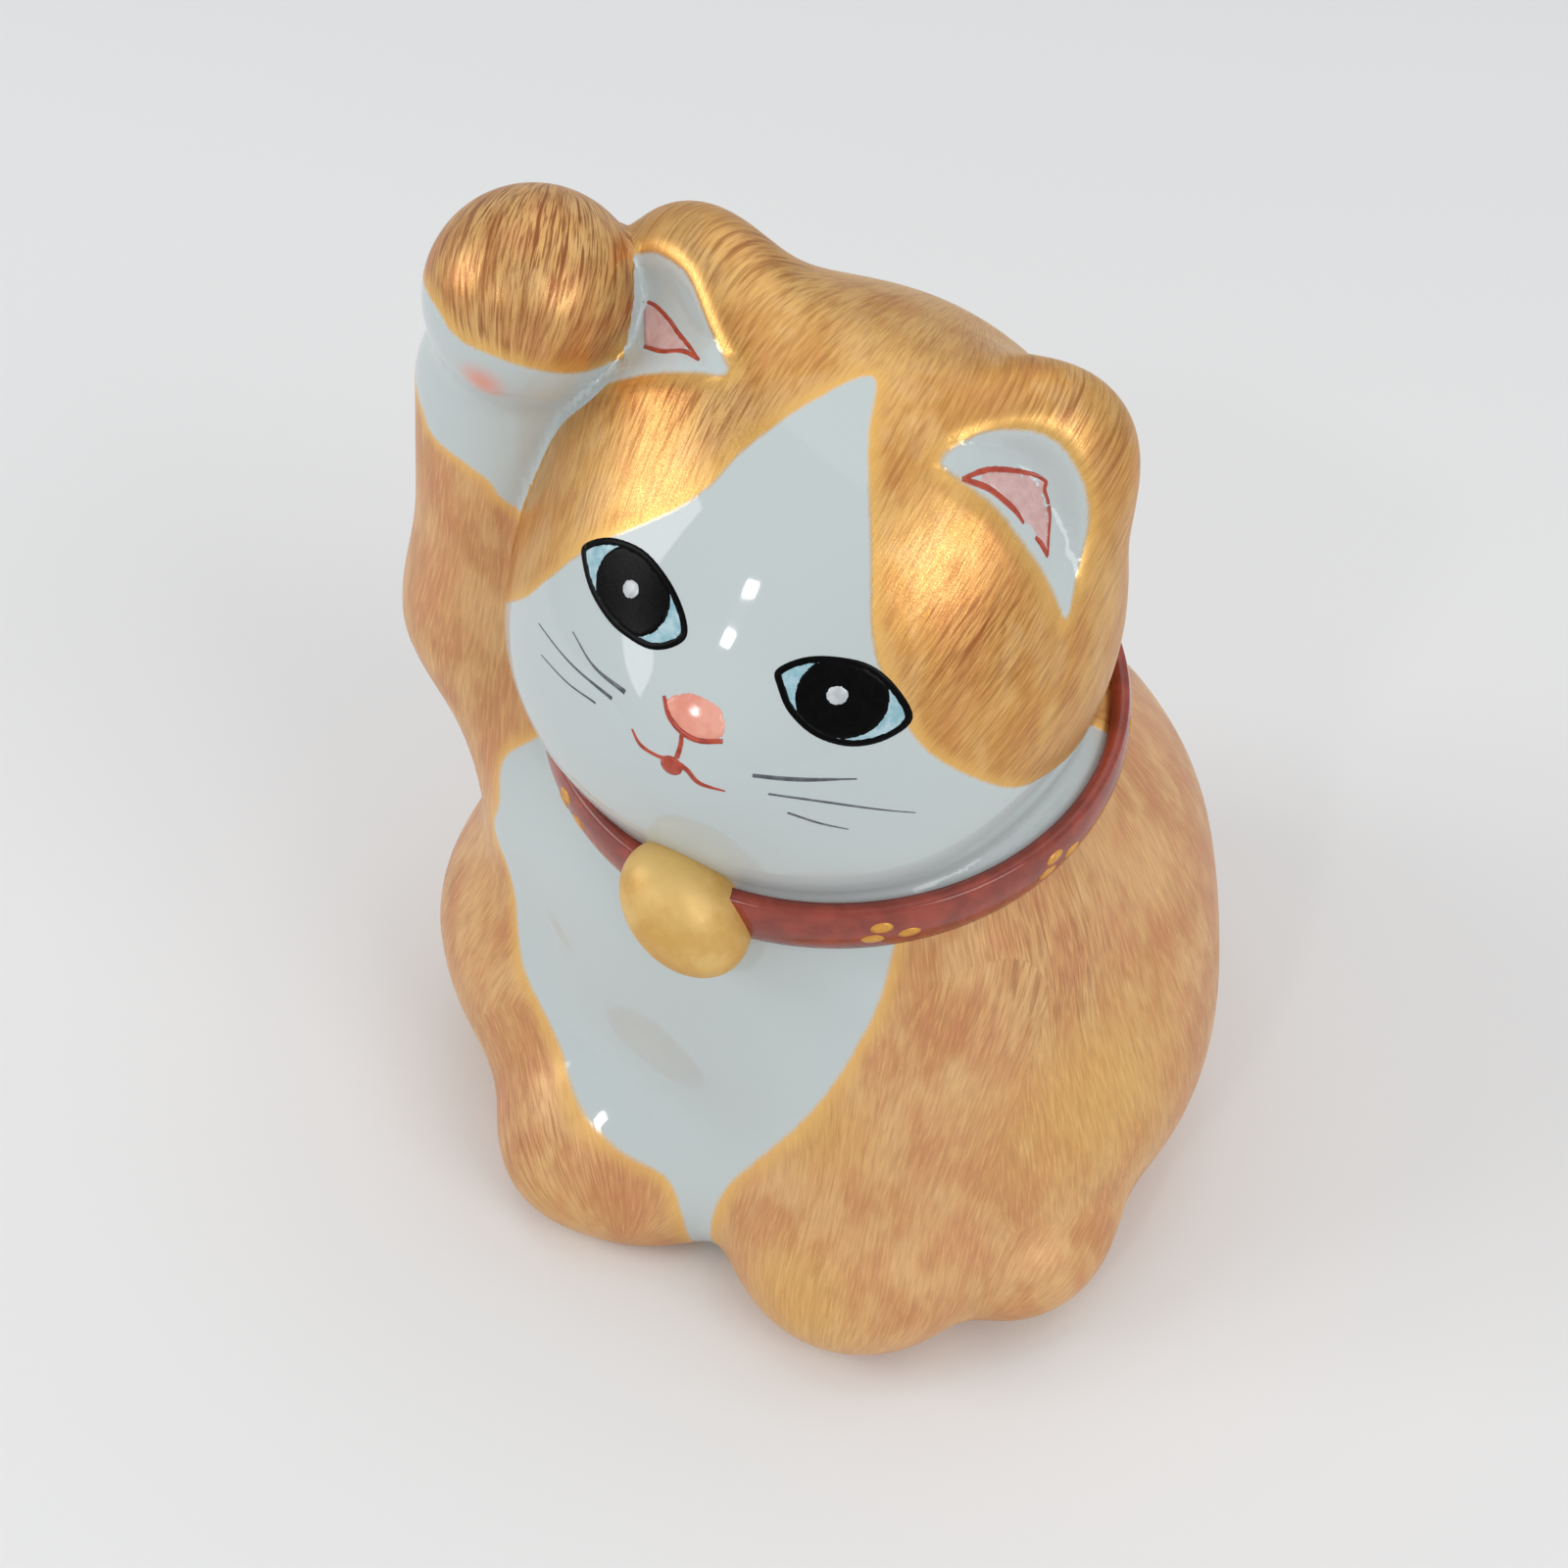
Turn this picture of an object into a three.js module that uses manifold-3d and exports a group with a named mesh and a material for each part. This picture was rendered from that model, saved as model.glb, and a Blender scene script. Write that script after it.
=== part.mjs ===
// A slip-cast porcelain beckoning cat, sitting up with its right forepaw raised beside its ear.
// Millimetres. The cat faces -Y, its own left is +X, up is +Z and it sits on Z = 0.
// Every other size below is a share of these, so one number can be changed on its own.
import * as THREE from "three";
import { mergeVertices } from "three/addons/utils/BufferGeometryUtils.js";
import Module from "manifold-3d";

// ---- Driving sizes ----
const BODY_WIDTH = 66; // across the trunk, haunches not counted
const BODY_DEPTH = 62; // chest to back
const NECK_HEIGHT = 48; // floor to the crease under the head
const HEAD_WIDTH = 48.8; // cheek to cheek
const WALL = 3; // cast wall of the hollow body and head
const LUTE_GAP = 0.3; // slip joint between two cast pieces
const NECK_BORE = 20; // bore through the neck that joins the two hollows
const VENT_BORE = 7; // drain hole in the base
const FORELEG_WIDTH = 22; // standing left foreleg, at its paw
const HIND_PAW_WIDTH = 17;
const ARM_WIDTH = 17; // raised right foreleg
const EAR_WIDTH = 17;
const EAR_HEIGHT = 19.5;
const COLLAR_HEIGHT = 4.8; // up and down
const COLLAR_STAND = 0.4; // how far its face stands outside the cheeks
const BELL_WIDTH = 10.8;
const TAIL_WIDTH = 15;

const degrees = THREE.MathUtils.degToRad;
const HEAD_LOOKS_UP = degrees(25);
const HEAD_TURNS = degrees(9.5); // towards its own left
const HEAD_LEANS = degrees(17); // its left ear lower
const COLLAR_DROPS = degrees(8.5); // lower in front
const COLLAR_LEANS = degrees(3.4);

// ---- Places, as shares of the body or of the head ----
const point = (x, y, z) => new THREE.Vector3(x, y, z);
const onBody = (x, y, z) => point((x * BODY_WIDTH) / 2, (y * BODY_DEPTH) / 2, z * NECK_HEIGHT);
const HEAD_RADIUS = HEAD_WIDTH / 2;
const HEAD_CENTRE = point(0, -0.16 * (BODY_DEPTH / 2), NECK_HEIGHT + 0.49 * HEAD_RADIUS);
const besideHead = (x, y, z) => point(x, y, z).multiplyScalar(HEAD_RADIUS).add(HEAD_CENTRE);
const onHead = (x, y, z) => point(x, y, z).multiplyScalar(HEAD_RADIUS);

const turned = (x, y, z) => {
  const euler = new THREE.Euler(degrees(x), degrees(y), degrees(z), "ZYX");
  return new THREE.Quaternion().setFromEuler(euler);
};
const headTurn = new THREE.Quaternion().setFromEuler(
  new THREE.Euler(-HEAD_LOOKS_UP, HEAD_LEANS, HEAD_TURNS, "ZXY"),
);

// ---- Forms: each gives the distance from a place to its surface, negative inside ----
const egg = (centre, radii, turn = new THREE.Quaternion()) => {
  const back = turn.clone().invert();
  return (place) => {
    const local = place.clone().sub(centre).applyQuaternion(back).divide(radii);
    const reach = local.length();
    const slope = local.divide(radii).length() + 1e-9;
    return (reach * (reach - 1)) / slope;
  };
};

const limb = (from, to, fromRadius, toRadius) => {
  const run = to.clone().sub(from);
  return (place) => {
    const along = place.clone().sub(from);
    const share = THREE.MathUtils.clamp(along.dot(run) / run.lengthSq(), 0, 1);
    const radius = THREE.MathUtils.lerp(fromRadius, toRadius, share);
    return along.addScaledVector(run, -share).length() - radius;
  };
};

const softer = (a, b, soft) => {
  const near = Math.max(soft - Math.abs(a - b), 0);
  return Math.min(a, b) - (near * near) / (4 * soft);
};
const blend = (soft, ...forms) => (place) =>
  forms.map((form) => form(place)).reduce((a, b) => softer(a, b, soft));
const hollowed = (soft, form, scoop) => (place) => -softer(-form(place), scoop(place), soft);

// A form made in the head's own frame, carried to where the head is.
const carriedByHead = (form) => {
  const back = headTurn.clone().invert();
  return (place) => form(place.clone().sub(HEAD_CENTRE).applyQuaternion(back));
};
const fromHead = (local) => local.clone().applyQuaternion(headTurn).add(HEAD_CENTRE);

// ---- Skins: a closed mesh laid on a form ----
const REACH = 1.5 * (BODY_WIDTH + BODY_DEPTH);

function cast(form, start, direction, level) {
  const step = 0.02 * REACH;
  let inside = 0;
  let outside = step;
  while (outside < REACH && form(start.clone().addScaledVector(direction, outside)) < level) {
    inside = outside;
    outside += step;
  }
  for (let halving = 0; halving < 24; halving++) {
    const middle = (inside + outside) / 2;
    if (form(start.clone().addScaledVector(direction, middle)) < level) inside = middle;
    else outside = middle;
  }
  return start.clone().addScaledVector(direction, inside);
}

const bare = (geometry) => {
  geometry.deleteAttribute("normal");
  geometry.deleteAttribute("uv");
  return mergeVertices(geometry, 1e-5);
};

// A rounded lump, cast outwards from one place inside it.
function lump(form, centre, detail, level = 0) {
  const skin = bare(new THREE.IcosahedronGeometry(1, detail));
  const places = skin.attributes.position;
  for (let i = 0; i < places.count; i++) {
    const direction = new THREE.Vector3().fromBufferAttribute(places, i).normalize();
    const place = cast(form, centre, direction, level);
    places.setXYZ(i, place.x, place.y, place.z);
  }
  return solid(skin);
}

// A long limb, cast outwards from a spine that runs from the root to the tip.
function sleeve(form, spine, around, along, level = 0) {
  const skin = bare(new THREE.SphereGeometry(1, around, along));
  const places = skin.attributes.position;
  for (let i = 0; i < places.count; i++) {
    const onSphere = new THREE.Vector3().fromBufferAttribute(places, i).normalize();
    const polar = Math.acos(THREE.MathUtils.clamp(-onSphere.y, -1, 1)) / Math.PI;
    const share = THREE.MathUtils.clamp((polar - 0.2) / 0.6, 0, 1);
    const tangent = spine.getTangent(share);
    const upright = new THREE.Quaternion().setFromUnitVectors(point(0, 1, 0), tangent);
    const tilt = (Math.PI / 2) * THREE.MathUtils.clamp(1 - polar / 0.2, 0, 1);
    const tip = (Math.PI / 2) * THREE.MathUtils.clamp((polar - 0.8) / 0.2, 0, 1);
    const angle = Math.atan2(onSphere.z, onSphere.x);
    const climb = Math.sin(tip) - Math.sin(tilt);
    const spread = Math.cos(tip) * Math.cos(tilt);
    const direction = point(spread * Math.cos(angle), climb, spread * Math.sin(angle));
    const place = cast(form, spine.getPoint(share), direction.applyQuaternion(upright), level);
    places.setXYZ(i, place.x, place.y, place.z);
  }
  return solid(skin);
}

// ---- Solids ----
const wasm = await Module();
wasm.setup();

function solid(geometry) {
  const { position } = geometry.attributes;
  return new wasm.Manifold(
    new wasm.Mesh({
      numProp: 3,
      vertProperties: Float32Array.from(position.array),
      triVerts: Uint32Array.from(geometry.index.array),
    }),
  );
}

const cutBy = (shape, ...cutters) => cutters.reduce((rest, cutter) => rest.subtract(cutter), shape);

const rod = (radius, from, to) => {
  const geometry = new THREE.CylinderGeometry(radius, radius, to - from, 40);
  geometry.rotateX(Math.PI / 2);
  geometry.translate(0, 0, (from + to) / 2);
  return geometry;
};

// Everything below a level, to cut a flat seat.
const below = (level) => {
  const block = new THREE.BoxGeometry(2 * REACH, 2 * REACH, REACH);
  return solid(bare(block.translate(0, 0, level - REACH / 2)));
};
const floor = below(0);

// ---- Body: trunk, chest and haunches cast as one hollow shell ----
const bodySize = onBody;
const trunk = egg(onBody(0.02, 0.13, 0.465), bodySize(1.01, 1.01, 0.56));
const chest = egg(
  point(0, HEAD_CENTRE.y, 0.79 * NECK_HEIGHT),
  point(0.98 * HEAD_RADIUS, 0.93 * HEAD_RADIUS, 0.33 * NECK_HEIGHT),
);
const haunch = (side) => egg(onBody(side * 0.7, -0.08, 0.28), bodySize(0.43, 0.677, 0.333));
const belly = egg(onBody(0, -0.45, 0.19), bodySize(0.48, 0.45, 0.23));
const seat = egg(onBody(0, 0.13, 0.11), bodySize(0.92, 0.9, 0.19));
const bodyForm = blend(6, blend(10, trunk, chest), haunch(1), haunch(-1), belly, seat);
const bodyCore = onBody(0, 0, 0.45);
const bodySkin = (detail, level) => lump(bodyForm, bodyCore, detail, level);

// ---- Head ----
const skull = egg(onHead(0, 0.04, 0.02), onHead(1, 0.967, 0.984));
const jaw = egg(onHead(0, -0.205, -0.37), onHead(0.82, 0.676, 0.533));
const muzzle = egg(onHead(0, -0.82, -0.33), onHead(0.266, 0.185, 0.205));
const headForm = carriedByHead(blend(5, blend(8, skull, jaw), muzzle));
const headSkin = (detail, level) => lump(headForm, HEAD_CENTRE, detail, level);

// ---- Ears: eggs hollowed by a cup that faces outwards and runs on into the head ----
function earForms(side, place) {
  const turn = turned(0, side * 22, 0).multiply(turned(0, 0, side * 28));
  const half = point(EAR_WIDTH / 2, EAR_WIDTH / 3.1, EAR_HEIGHT / 2);
  const carried = (x, y, z) => point(x, y, z).multiply(half).applyQuaternion(turn).add(place);
  const cupCentre = carried(-0.2 * side, -1.05, -0.05);
  const outside = egg(place, half, turn);
  const cup = egg(cupCentre, point(0.82, 0.85, 0.78).multiply(half), turn);
  return {
    shell: carriedByHead(hollowed(2, outside, cup)),
    cup: carriedByHead(cup),
    cupCentre: fromHead(cupCentre),
    root: fromHead(carried(0.1 * side, 0.35, 0.1)),
  };
}
const rightEar = earForms(-1, onHead(-0.69, -0.245, 0.6));
const leftEar = earForms(1, onHead(0.44, -0.245, 0.66));
const cupOf = ({ cup, cupCentre }, detail, level) => lump(cup, cupCentre, detail, level);

const headFitting = headSkin(10, LUTE_GAP);
const bodyFitting = bodySkin(11, LUTE_GAP);

const bodyHollow = cutBy(bodySkin(6, -WALL), below(WALL));
const vent = solid(bare(rod(VENT_BORE / 2, -WALL, 2 * WALL).translate(0, 0.13 * BODY_DEPTH, 0)));
const neckBore = solid(
  bare(
    rod(NECK_BORE / 2, NECK_HEIGHT - 0.8 * HEAD_RADIUS, NECK_HEIGHT).translate(0, HEAD_CENTRE.y, 0),
  ),
);
const headHollow = cutBy(headSkin(5, -WALL), cupOf(rightEar, 4, WALL), cupOf(leftEar, 4, WALL));

// ---- Collar: a raised band in the crease under the head, with an egg-shaped bell in front ----
const COLLAR_CENTRE = besideHead(0.06, 0, -0.44);
const collarTurn = new THREE.Quaternion().setFromEuler(
  new THREE.Euler(COLLAR_DROPS, COLLAR_LEANS, 0, "ZYX"),
);
function collarBand(grown) {
  const outer = HEAD_RADIUS + COLLAR_STAND + grown;
  const inner = 0.82 * HEAD_RADIUS - grown;
  const half = COLLAR_HEIGHT / 2 + grown;
  const round = 0.3 * COLLAR_HEIGHT;
  const profile = [point(inner, -half, 0), point(outer - round, -half, 0)];
  for (let i = 1; i < 7; i++) {
    const angle = -Math.PI / 2 + (Math.PI * i) / 7;
    profile.push(
      point(outer - round + round * Math.cos(angle), half * Math.sign(Math.sin(angle)), 0)
        .setY((half - round) * Math.sign(i - 3.5) + round * Math.sin(angle)),
    );
  }
  profile.push(point(outer - round, half, 0), point(inner, half, 0), point(inner, -half, 0));
  const band = new THREE.LatheGeometry(profile, 48).rotateX(Math.PI / 2);
  band.applyQuaternion(collarTurn).translate(COLLAR_CENTRE.x, COLLAR_CENTRE.y, COLLAR_CENTRE.z);
  return solid(bare(band));
}
const collarFitting = collarBand(LUTE_GAP);

const BELL_RADIUS = BELL_WIDTH / 2;
const bellCentre = point(0.02, -1, 0)
  .multiplyScalar(HEAD_RADIUS)
  .applyQuaternion(collarTurn)
  .add(COLLAR_CENTRE)
  .add(point(0, 0, -0.03 * BELL_WIDTH));
const bellTurn = turned(0, 38, 0);
const bellForm = egg(bellCentre, point(1.08, 0.9, 0.92).multiplyScalar(BELL_RADIUS), bellTurn);

// ---- Limbs ----
const LEG = FORELEG_WIDTH / 2;
const forelegTop = onBody(0.42, -0.42, 0.667);
const forelegAnkle = onBody(0.455, -0.74, 0.188);
const forelegForm = blend(
  6,
  limb(forelegTop, forelegAnkle, 1.05 * LEG, 0.95 * LEG),
  egg(onBody(0.455, -0.855, 0.15), point(1, 1, 0.75).multiplyScalar(LEG)),
);
const foreleg = (level) =>
  sleeve(forelegForm, new THREE.LineCurve3(forelegTop, forelegAnkle), 26, 20, level);

const HIND = HIND_PAW_WIDTH / 2;
const thigh = onBody(-0.74, -0.31, 0.31);
const hock = onBody(-0.42, -0.742, 0.16);
const hindLegForm = blend(
  6,
  limb(thigh, hock, 1.235 * HIND, 0.94 * HIND),
  egg(onBody(-0.36, -0.855, 0.125), point(1, 1.12, 0.8).multiplyScalar(HIND)),
  egg(onBody(-0.182, -0.887, 0.073), point(0.65, 0.65, 0.47).multiplyScalar(HIND)),
);
const hindFootForm = egg(
  onBody(0.818, -0.548, 0.125),
  point(1, 1.294, 0.765).multiplyScalar(HIND),
);

const ARM = ARM_WIDTH / 2;
const shoulder = onBody(-0.63, -0.29, 0.71);
const elbow = besideHead(-1.17, -0.1, -0.4);
const wrist = besideHead(-1.086, -0.082, 0.533);
const pawCentre = besideHead(-0.934, -0.164, 0.926);
const armForm = blend(
  3,
  blend(
    5,
    limb(shoulder, elbow, 1.1 * ARM, 1.04 * ARM),
    limb(elbow, wrist, 1.04 * ARM, 0.965 * ARM),
  ),
  egg(pawCentre, point(0.98, 1.035, 0.965).multiplyScalar(ARM)),
);
const armSpine = new THREE.CatmullRomCurve3([shoulder, elbow, wrist, pawCentre]);
const raisedArm = (level) => sleeve(armForm, armSpine, 24, 30, level);

const tailForm = egg(onBody(0.15, 1, 0.19), point(1, 0.8, 1).multiplyScalar(TAIL_WIDTH / 2));

// ---- Pieces, each cut clear of the ones it is joined to ----
const cups = [cupOf(rightEar, 7, 0), cupOf(leftEar, 7, 0)];
const headClear = cutBy(headSkin(10, 0), headHollow, neckBore, ...cups);
const bodyClear = cutBy(bodySkin(11, 0), bodyHollow, headFitting, vent, floor, collarFitting);
const core = [bodyFitting, headFitting, collarFitting];

const forelegFitting = foreleg(LUTE_GAP);
const bellFitting = lump(bellForm, bellCentre, 5, LUTE_GAP);
const armFitting = raisedArm(LUTE_GAP);
const earOf = ({ shell, root }) => cutBy(lump(shell, root, 9), headFitting, armFitting);

const pieces = {
  body: bodyClear,
  head: headClear,
  collar: cutBy(collarBand(0), headFitting, bellFitting),
  bell: cutBy(lump(bellForm, bellCentre, 5), bodyFitting, headFitting),
  ear_right: earOf(rightEar),
  ear_left: earOf(leftEar),
  raised_foreleg: cutBy(raisedArm(0), ...core),
  standing_foreleg: cutBy(foreleg(0), ...core, floor),
  hind_leg_right: cutBy(
    lump(hindLegForm, thigh.clone().lerp(hock, 0.7), 8),
    ...core,
    forelegFitting,
    armFitting,
    floor,
  ),
  hind_foot_left: cutBy(
    lump(hindFootForm, onBody(0.818, -0.548, 0.125), 6),
    ...core,
    forelegFitting,
    floor,
  ),
  tail: cutBy(lump(tailForm, onBody(0.15, 1, 0.19), 5), ...core, floor),
};

// ---- Meshes ----
const colours = {
  body: 0xd79a5c,
  head: 0xe9ecec,
  collar: 0x8c3a36,
  bell: 0xe2b64c,
};

const beckoningCat = new THREE.Group();
for (const [name, piece] of Object.entries(pieces)) {
  const { vertProperties, triVerts } = piece.getMesh();
  const geometry = new THREE.BufferGeometry();
  geometry.setAttribute("position", new THREE.BufferAttribute(vertProperties, 3));
  geometry.setIndex(new THREE.BufferAttribute(triVerts, 1));
  const material = new THREE.MeshStandardMaterial({
    color: colours[name] ?? colours.body,
    roughness: 0.2,
  });
  const mesh = new THREE.Mesh(geometry, material);
  mesh.name = name;
  beckoningCat.add(mesh);
}

export default beckoningCat;
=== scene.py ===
"""Looks of the beckoning cat figurine: one glazed, hand-painted porcelain body in separately cast pieces.

Lengths in this file are millimetres until a mesh is made; MM turns them into metres.
The forms are those of the CAD model, blended into one another as the glaze does it.
"""
import math

import bpy
import numpy as np
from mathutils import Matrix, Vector
from mathutils.geometry import delaunay_2d_cdt


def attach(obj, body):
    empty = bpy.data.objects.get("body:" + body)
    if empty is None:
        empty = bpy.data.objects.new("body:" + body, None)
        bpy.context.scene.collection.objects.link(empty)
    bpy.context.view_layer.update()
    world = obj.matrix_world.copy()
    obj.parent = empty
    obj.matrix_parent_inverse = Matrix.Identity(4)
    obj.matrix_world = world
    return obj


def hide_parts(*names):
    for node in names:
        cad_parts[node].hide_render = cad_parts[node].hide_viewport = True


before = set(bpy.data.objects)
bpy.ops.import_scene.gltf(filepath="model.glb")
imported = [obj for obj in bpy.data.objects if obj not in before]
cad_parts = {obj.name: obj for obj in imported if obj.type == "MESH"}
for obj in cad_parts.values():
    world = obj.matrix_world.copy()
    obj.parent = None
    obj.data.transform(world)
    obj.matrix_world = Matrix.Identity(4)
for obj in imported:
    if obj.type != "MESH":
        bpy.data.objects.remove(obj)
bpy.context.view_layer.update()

MM = 0.001

# ---- the CAD model's driving sizes ----
BODY_WIDTH, BODY_DEPTH, NECK_HEIGHT = 66.0, 62.0, 48.0
HEAD_WIDTH = 48.8
FORELEG_WIDTH, HIND_PAW_WIDTH, ARM_WIDTH = 22.0, 17.0, 17.0
EAR_WIDTH, EAR_HEIGHT = 17.0, 19.5
COLLAR_HEIGHT, COLLAR_STAND = 4.8, 0.4
BELL_WIDTH, TAIL_WIDTH = 10.8, 15.0
VENT_BORE = 7.0
HEAD_LOOKS_UP, HEAD_TURNS, HEAD_LEANS = 25.0, 9.5, 17.0
COLLAR_DROPS, COLLAR_LEANS = 8.5, 3.4

# ---- how finely the porcelain is meshed, and the box that the mesh is looked for in ----
STEP = 0.6
SKIN_THICKNESS = 0.4
BOX_LOW, BOX_HIGH = (-40, -39, -1.2), (39, 39, 92.4)
BELL_STEP = 0.45

# ---- the base, and where its drain hole ends ----
VENT_BACK = 0.13 * BODY_DEPTH
VENT_TOP = 9.0
SEAT_EDGE = 1.0
VENT_EDGE = 0.5


def turn(axis, angle):
    """A rotation matrix about one axis."""
    c, s = math.cos(math.radians(angle)), math.sin(math.radians(angle))
    rows = {
        "X": [[1, 0, 0], [0, c, -s], [0, s, c]],
        "Y": [[c, 0, s], [0, 1, 0], [-s, 0, c]],
        "Z": [[c, -s, 0], [s, c, 0], [0, 0, 1]],
    }
    return np.array(rows[axis])


def on_body(x, y, z):
    """A place or size as a share of half the body's width, half its depth and its height to the neck."""
    return np.array([x * BODY_WIDTH / 2, y * BODY_DEPTH / 2, z * NECK_HEIGHT])


HEAD_RADIUS = HEAD_WIDTH / 2
HEAD_CENTRE = np.array([0, -0.16 * BODY_DEPTH / 2, NECK_HEIGHT + 0.49 * HEAD_RADIUS])
HEAD_TURN = turn("Z", HEAD_TURNS) @ turn("X", -HEAD_LOOKS_UP) @ turn("Y", HEAD_LEANS)


def on_head(x, y, z):
    """A place or size as a share of the head's radius."""
    return np.array([x, y, z]) * HEAD_RADIUS


def beside_head(x, y, z):
    """A place near the head that doesn't turn with it."""
    return HEAD_CENTRE + on_head(x, y, z)


def into_head(places):
    """Places in the turned head's own frame: x to the cat's left, -y out of its face, z up its crown."""
    return (places - HEAD_CENTRE) @ HEAD_TURN


def from_head(local):
    """Places of the turned head's own frame, back in the figurine's frame."""
    return np.asarray(local, float) @ HEAD_TURN.T + HEAD_CENTRE


# ---- forms: each gives the distance from places to a surface, negative inside ----
def egg(centre, radii, turned=None):
    """An ellipsoid."""
    centre, radii = np.asarray(centre, float), np.asarray(radii, float)

    def form(places):
        local = places - centre
        if turned is not None:
            local = local @ turned
        local = local / radii
        reach = np.linalg.norm(local, axis=1)
        return reach * (reach - 1) / (np.linalg.norm(local / radii, axis=1) + 1e-9)

    return form


def limb(start, end, start_radius, end_radius):
    """A tapered rod with round ends."""
    run = end - start

    def form(places):
        share = np.clip((places - start) @ run / (run @ run), 0, 1)
        gap = np.linalg.norm(places - start - share[:, None] * run, axis=1)
        return gap - (start_radius + (end_radius - start_radius) * share)

    return form


def softer(a, b, soft):
    """The union of two distances with a fillet, which is a quarter of soft deep where both are equal."""
    near = np.maximum(1 - np.abs(a - b) / (1.5 * soft), 0)
    return np.minimum(a, b) - soft / 4 * near**3


def carve(kept, cut, soft):
    """What is kept of a distance once another form is cut out of it, with a rounded lip."""
    return -softer(-kept, cut, soft)


def blend(soft, *forms):
    """Several forms joined with fillets."""

    def form(places):
        result = forms[0](places)
        for other in forms[1:]:
            result = softer(result, other(places), soft)
        return result

    return form


def in_head(form):
    """A form that was given in the turned head's own frame."""
    return lambda places: form(into_head(places))


# ---- curves ----
def flowing(knots, closed=False, samples=8):
    """A smooth curve through its knots."""
    knots = np.asarray(knots, float)
    if closed:
        padded = np.concatenate([knots[-1:], knots, knots[:2]])
    else:
        padded = np.concatenate([2 * knots[:1] - knots[1:2], knots, 2 * knots[-1:] - knots[-2:-1]])
    t = (np.arange(samples) / samples)[:, None]
    parts = []
    for k in range(len(padded) - 3):
        a, b, c, d = padded[k:k + 4]
        parts.append(0.5 * (2 * b + (c - a) * t + (2 * a - 5 * b + 4 * c - d) * t**2
                            + (3 * b - a - 3 * c + d) * t**3))
    if not closed:
        parts.append(knots[-1:])
    return np.concatenate(parts)


def beyond(outline, places):
    """Signed distance in a plane from a closed outline: positive outside it, negative within."""
    start, end = outline, np.roll(outline, -1, axis=0)
    run = end - start
    away = places[:, None, :] - start[None]
    share = np.clip((away * run).sum(2) / ((run**2).sum(1) + 1e-12), 0, 1)
    gap = np.sqrt(((away - share[:, :, None] * run) ** 2).sum(2)).min(1)
    above = (start[:, 1] > places[:, None, 1]) != (end[:, 1] > places[:, None, 1])
    rise = np.where(run[:, 1] == 0, 1, run[:, 1])
    cross = above & (away[:, :, 0] < run[:, 0] * (places[:, None, 1] - start[:, 1]) / rise)
    return np.where(cross.sum(1) % 2 == 1, -gap, gap)


# ---- trunk ----
trunk = egg(on_body(0.02, 0.13, 0.465), on_body(1.01, 1.01, 0.56))
chest_radii = [0.98 * HEAD_RADIUS, 0.93 * HEAD_RADIUS, 0.33 * NECK_HEIGHT]
chest = egg([0, HEAD_CENTRE[1], 0.79 * NECK_HEIGHT], chest_radii)
haunches = [egg(on_body(side * 0.7, -0.08, 0.28), on_body(0.43, 0.677, 0.333)) for side in (1, -1)]
belly = egg(on_body(0, -0.45, 0.19), on_body(0.48, 0.45, 0.23))
seat = egg(on_body(0, 0.13, 0.11), on_body(0.92, 0.9, 0.19))
body_form = blend(6, blend(10, trunk, chest), *haunches, belly, seat)

# ---- head ----
skull = egg(on_head(0, 0.04, 0.02), on_head(1, 0.967, 0.984))
jaw = egg(on_head(0, -0.205, -0.37), on_head(0.82, 0.676, 0.533))
muzzle = egg(on_head(0, -0.82, -0.33), on_head(0.266, 0.185, 0.205))
head_form = in_head(blend(5, blend(8, skull, jaw), muzzle))

# ---- legs, raised foreleg and tail ----
LEG = FORELEG_WIDTH / 2
foreleg_form = blend(
    6,
    limb(on_body(0.42, -0.42, 0.667), on_body(0.455, -0.74, 0.188), 1.05 * LEG, 0.95 * LEG),
    egg(on_body(0.455, -0.855, 0.15), LEG * np.array([1, 1, 0.75])),
)
HIND = HIND_PAW_WIDTH / 2
hind_leg_form = blend(
    6,
    limb(on_body(-0.74, -0.31, 0.31), on_body(-0.42, -0.742, 0.16), 1.235 * HIND, 0.94 * HIND),
    egg(on_body(-0.36, -0.855, 0.125), HIND * np.array([1.0, 1.12, 0.8])),
    egg(on_body(-0.182, -0.887, 0.073), HIND * np.array([0.65, 0.65, 0.47])),
)
hind_foot_form = egg(on_body(0.818, -0.548, 0.125), HIND * np.array([1, 1.294, 0.765]))
ARM = ARM_WIDTH / 2
elbow, wrist = beside_head(-1.17, -0.1, -0.4), beside_head(-1.086, -0.082, 0.533)
paw_centre = beside_head(-0.934, -0.164, 0.926)
arm_form = blend(
    3,
    blend(
        5,
        limb(on_body(-0.63, -0.29, 0.71), elbow, 1.1 * ARM, 1.04 * ARM),
        limb(elbow, wrist, 1.04 * ARM, 0.965 * ARM),
    ),
    egg(paw_centre, ARM * np.array([0.98, 1.035, 0.965])),
)
tail_form = egg(on_body(0.15, 1, 0.19), TAIL_WIDTH / 2 * np.array([1, 0.8, 1]))


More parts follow.
